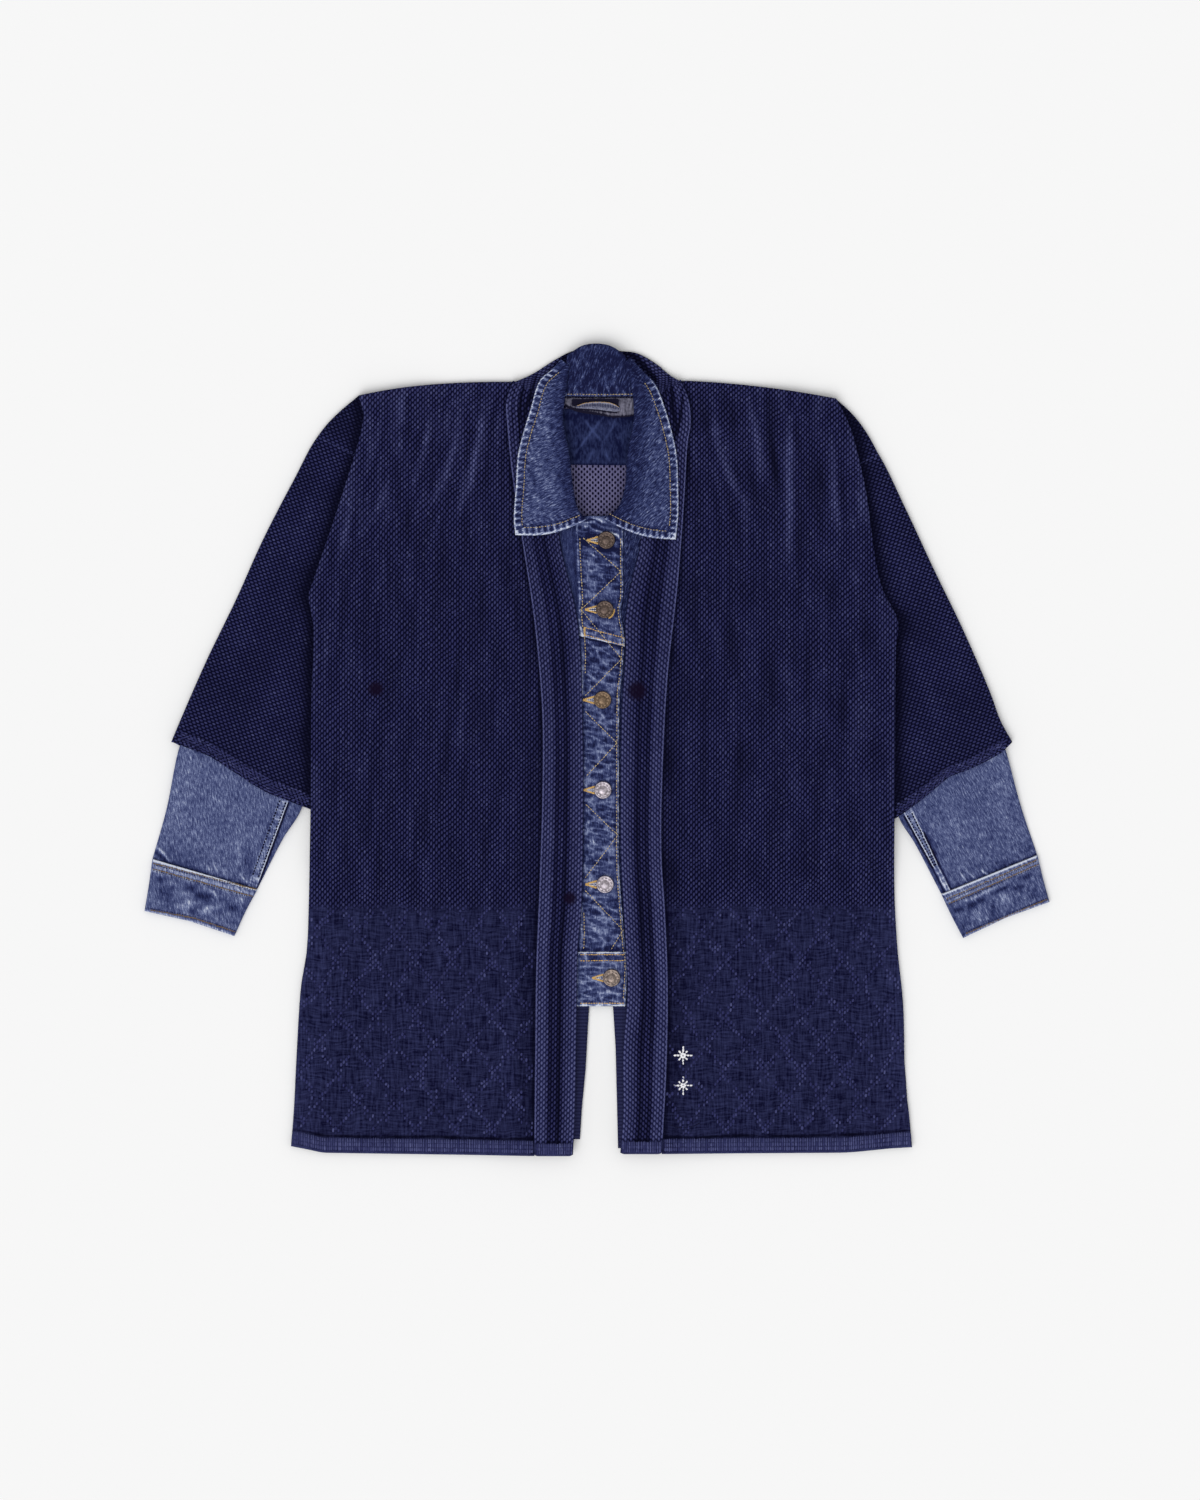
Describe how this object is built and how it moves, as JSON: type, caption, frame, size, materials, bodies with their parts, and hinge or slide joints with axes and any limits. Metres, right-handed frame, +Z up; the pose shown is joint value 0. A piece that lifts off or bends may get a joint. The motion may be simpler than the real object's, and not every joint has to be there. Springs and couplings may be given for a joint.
{
  "type": "patched sashiko jacket",
  "caption": "Thick indigo sashiko jacket lying flat, with a denim collar, buttoned front, lower sleeves and cuffs sewn in, ribbed front bands and a diamond-quilted skirt.",
  "frame": {"origin": "centre of the bounding box, on the surface that the jacket lies on", "axes": "+X to the viewer's right across the sleeves, +Y towards the collar, +Z up out of the jacket's front"},
  "size_m": [0.9046, 0.8113, 0.0192],
  "materials": {
    "sashiko": "thick indigo cotton with a rice-grain weave, faded along folds",
    "band": "doubled indigo cotton, ribbed lengthwise",
    "denim": "worn blue denim twill with tan topstitching",
    "lining": "plain blue cotton twill",
    "facing": "pale grey cotton, frayed edge",
    "bronze": "aged dark bronze, worn",
    "silver": "worn pale metal with a copper rim"
  },
  "bodies": {
    "root": {"back": "sashiko", "front_left": "sashiko", "front_right": "sashiko", "drop_shoulder_left": "sashiko", "drop_shoulder_right": "sashiko", "sleeve_left": "sashiko", "sleeve_right": "sashiko", "band_left": "band", "band_right": "band", "band_neck_left": "band", "band_neck_right": "band", "denim_sleeve_left": "denim", "denim_sleeve_right": "denim", "cuff_left": "denim", "cuff_right": "denim", "denim_yoke_left": "denim", "denim_front_left": "denim", "denim_waistband_left": "denim", "denim_front_right": "denim", "collar_left": "denim", "collar_right": "denim", "collar_back": "denim", "neck_lining": "lining", "neck_facing": "facing", "hanger_loop": "lining", "button_1": "bronze", "button_2": "bronze", "button_3": "bronze", "button_4": "silver", "button_5": "silver", "button_6": "bronze"}
  },
  "joints": []
}
